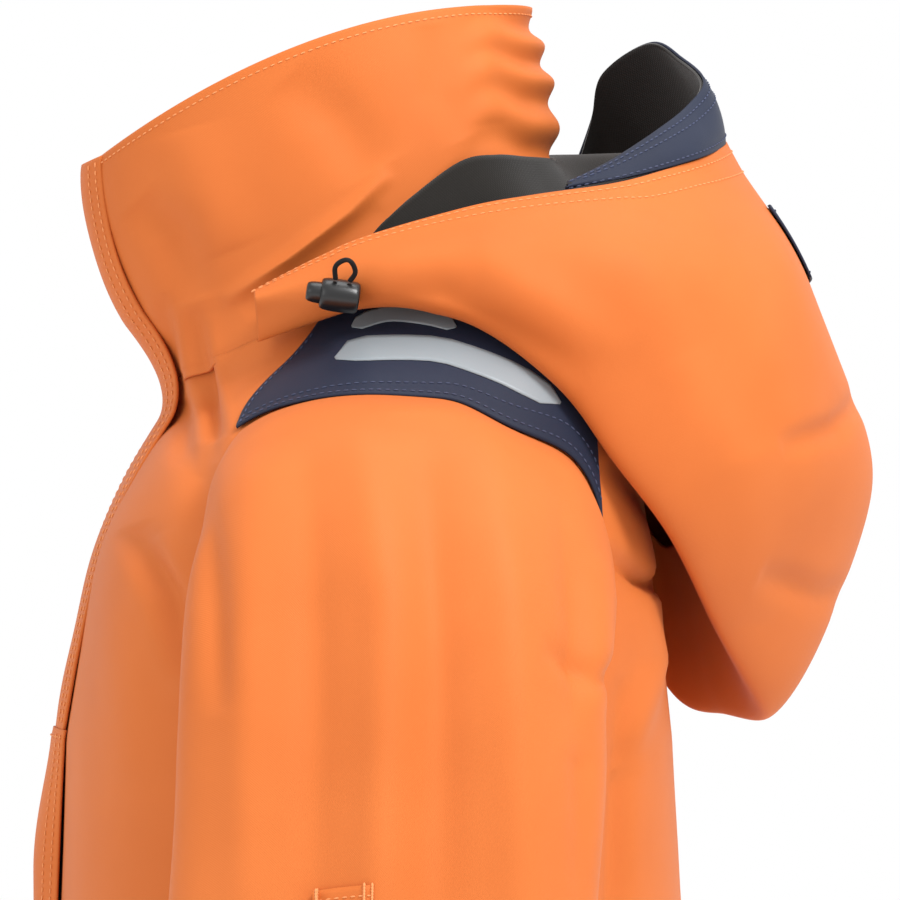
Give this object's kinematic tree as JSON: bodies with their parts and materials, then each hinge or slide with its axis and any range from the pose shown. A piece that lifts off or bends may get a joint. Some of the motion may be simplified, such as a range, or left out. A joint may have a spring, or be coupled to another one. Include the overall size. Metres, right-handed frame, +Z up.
{
  "type": "foul weather jacket",
  "caption": "Hooded foul weather jacket with a high collar, storm flap over a two-way zip, contrast yokes, reflective stripes and cargo pockets.",
  "frame": {"origin": "middle of the back neck seam, just outside the hanger loop", "axes": "+Z up, -Y out of the front, +X towards the wearer's left"},
  "size_m": [0.6574, 0.4367, 0.9031],
  "materials": {
    "orange_fabric": "matte coated weave",
    "navy_fabric": "matte coated weave",
    "black_fleece": "brushed fleece",
    "black_webbing": "woven",
    "reflective_tape": "glass bead film",
    "black_plastic": "satin"
  },
  "bodies": {
    "jacket": {"left_front_panel": "orange_fabric", "right_front_panel": "orange_fabric", "back_panel": "orange_fabric", "left_yoke": "navy_fabric", "right_yoke": "navy_fabric", "left_upper_stripe": "reflective_tape", "right_upper_stripe": "reflective_tape", "left_lower_stripe": "reflective_tape", "right_lower_stripe": "reflective_tape", "collar_shell": "orange_fabric", "collar_lining": "black_fleece", "collar_placket": "orange_fabric", "left_zip_tape": "black_webbing", "right_zip_tape": "black_webbing", "hanger_loop": "black_webbing", "hem_facing": "orange_fabric", "left_pocket": "orange_fabric", "right_pocket": "orange_fabric", "left_pocket_header": "orange_fabric", "right_pocket_header": "orange_fabric", "left_hem_lock_barrel": "black_plastic", "right_hem_lock_barrel": "black_plastic"},
    "hood": {"hood_shell": "orange_fabric", "hood_lining": "black_fleece", "hood_brim": "navy_fabric", "brim_stiffener": "black_plastic", "brim_lining": "black_fleece", "hood_rear_tab": "navy_fabric", "left_hood_lock_barrel": "black_plastic", "right_hood_lock_barrel": "black_plastic", "left_hood_lock_loop": "black_webbing", "right_hood_lock_loop": "black_webbing"},
    "left_sleeve": {"left_sleeve": "orange_fabric", "left_inner_cuff": "black_fleece", "left_sleeve_pocket": "orange_fabric"},
    "right_sleeve": {"right_sleeve": "orange_fabric", "right_inner_cuff": "black_fleece"},
    "left_cuff_tab": {"left_cuff_tab": "navy_fabric"},
    "right_cuff_tab": {"right_cuff_tab": "navy_fabric"},
    "storm_flap": {"storm_flap": "orange_fabric"},
    "bottom_zip_slider": {"bottom_zip_slider": "black_plastic"},
    "bottom_zip_puller": {"bottom_zip_puller": "black_plastic"},
    "top_zip_slider": {"top_zip_slider": "black_plastic"},
    "top_zip_puller": {"top_zip_puller": "black_plastic"},
    "left_pocket_flap": {"left_pocket_flap": "orange_fabric"},
    "right_pocket_flap": {"right_pocket_flap": "orange_fabric"},
    "left_hood_lock_plunger": {"left_hood_lock_plunger": "black_plastic"},
    "right_hood_lock_plunger": {"right_hood_lock_plunger": "black_plastic"},
    "left_hem_lock_plunger": {"left_hem_lock_plunger": "black_plastic"},
    "right_hem_lock_plunger": {"right_hem_lock_plunger": "black_plastic"}
  },
  "joints": [
    {"name": "hood_raise", "type": "hinge", "parent": "jacket", "child": "hood", "pos_m": [0, -0.155, -0.03], "axis": [1, 0, 0], "range_deg": [0, 95]},
    {"name": "left_sleeve_raise", "type": "hinge", "parent": "jacket", "child": "left_sleeve", "pos_m": [0.176, -0.095, -0.098], "axis": [0, -1, 0], "range_deg": [0, 70]},
    {"name": "right_sleeve_raise", "type": "hinge", "parent": "jacket", "child": "right_sleeve", "pos_m": [-0.176, -0.095, -0.098], "axis": [0, 1, 0], "range_deg": [0, 70]},
    {"name": "left_cuff_tab_open", "type": "hinge", "parent": "left_sleeve", "child": "left_cuff_tab", "pos_m": [0.30938, -0.17716, -0.64484], "axis": [0.0372, 0.0344, -0.9987], "range_deg": [0, 60]},
    {"name": "right_cuff_tab_open", "type": "hinge", "parent": "right_sleeve", "child": "right_cuff_tab", "pos_m": [-0.30938, -0.17716, -0.64484], "axis": [0.0372, -0.0344, 0.9987], "range_deg": [0, 60]},
    {"name": "storm_flap_open", "type": "hinge", "parent": "jacket", "child": "storm_flap", "pos_m": [0.03, -0.243, -0.26], "axis": [0, 0.0352, 0.9994], "range_deg": [0, 140]},
    {"name": "bottom_zip_slide", "type": "slide", "parent": "jacket", "child": "bottom_zip_slider", "axis": [0, 0.0352, 0.9994], "range_m": [0, 0.45]},
    {"name": "bottom_puller_lift", "type": "hinge", "parent": "bottom_zip_slider", "child": "bottom_zip_puller", "pos_m": [0, -0.26292, -0.75776], "axis": [-1, 0, 0], "range_deg": [0, 6]},
    {"name": "top_zip_slide", "type": "slide", "parent": "jacket", "child": "top_zip_slider", "axis": [0, 0.3511, -0.9363], "range_m": [0, 0.06]},
    {"name": "top_puller_lift", "type": "hinge", "parent": "top_zip_slider", "child": "top_zip_puller", "pos_m": [0, -0.22235, 0.01588], "axis": [-1, 0, 0], "range_deg": [0, 5]},
    {"name": "left_pocket_flap_lift", "type": "hinge", "parent": "jacket", "child": "left_pocket_flap", "pos_m": [0.13668, -0.24254, -0.51844], "axis": [-0.8701, -0.4929, 0], "range_deg": [0, 110]},
    {"name": "right_pocket_flap_lift", "type": "hinge", "parent": "jacket", "child": "right_pocket_flap", "pos_m": [-0.13668, -0.24254, -0.51844], "axis": [-0.8701, 0.4929, 0], "range_deg": [0, 110]},
    {"name": "left_hood_lock_press", "type": "slide", "parent": "hood", "child": "left_hood_lock_plunger", "axis": [0, 0.9889, -0.1483], "range_m": [0, 0.004], "stiffness_N_per_m": 400},
    {"name": "left_hem_lock_press", "type": "slide", "parent": "jacket", "child": "left_hem_lock_plunger", "axis": [0, 0, -1], "range_m": [0, 0.004], "stiffness_N_per_m": 400},
    {"name": "right_hood_lock_press", "type": "slide", "parent": "hood", "child": "right_hood_lock_plunger", "axis": [0, 0.9889, -0.1483], "range_m": [0, 0.004], "stiffness_N_per_m": 400},
    {"name": "right_hem_lock_press", "type": "slide", "parent": "jacket", "child": "right_hem_lock_plunger", "axis": [0, 0, -1], "range_m": [0, 0.004], "stiffness_N_per_m": 400}
  ]
}
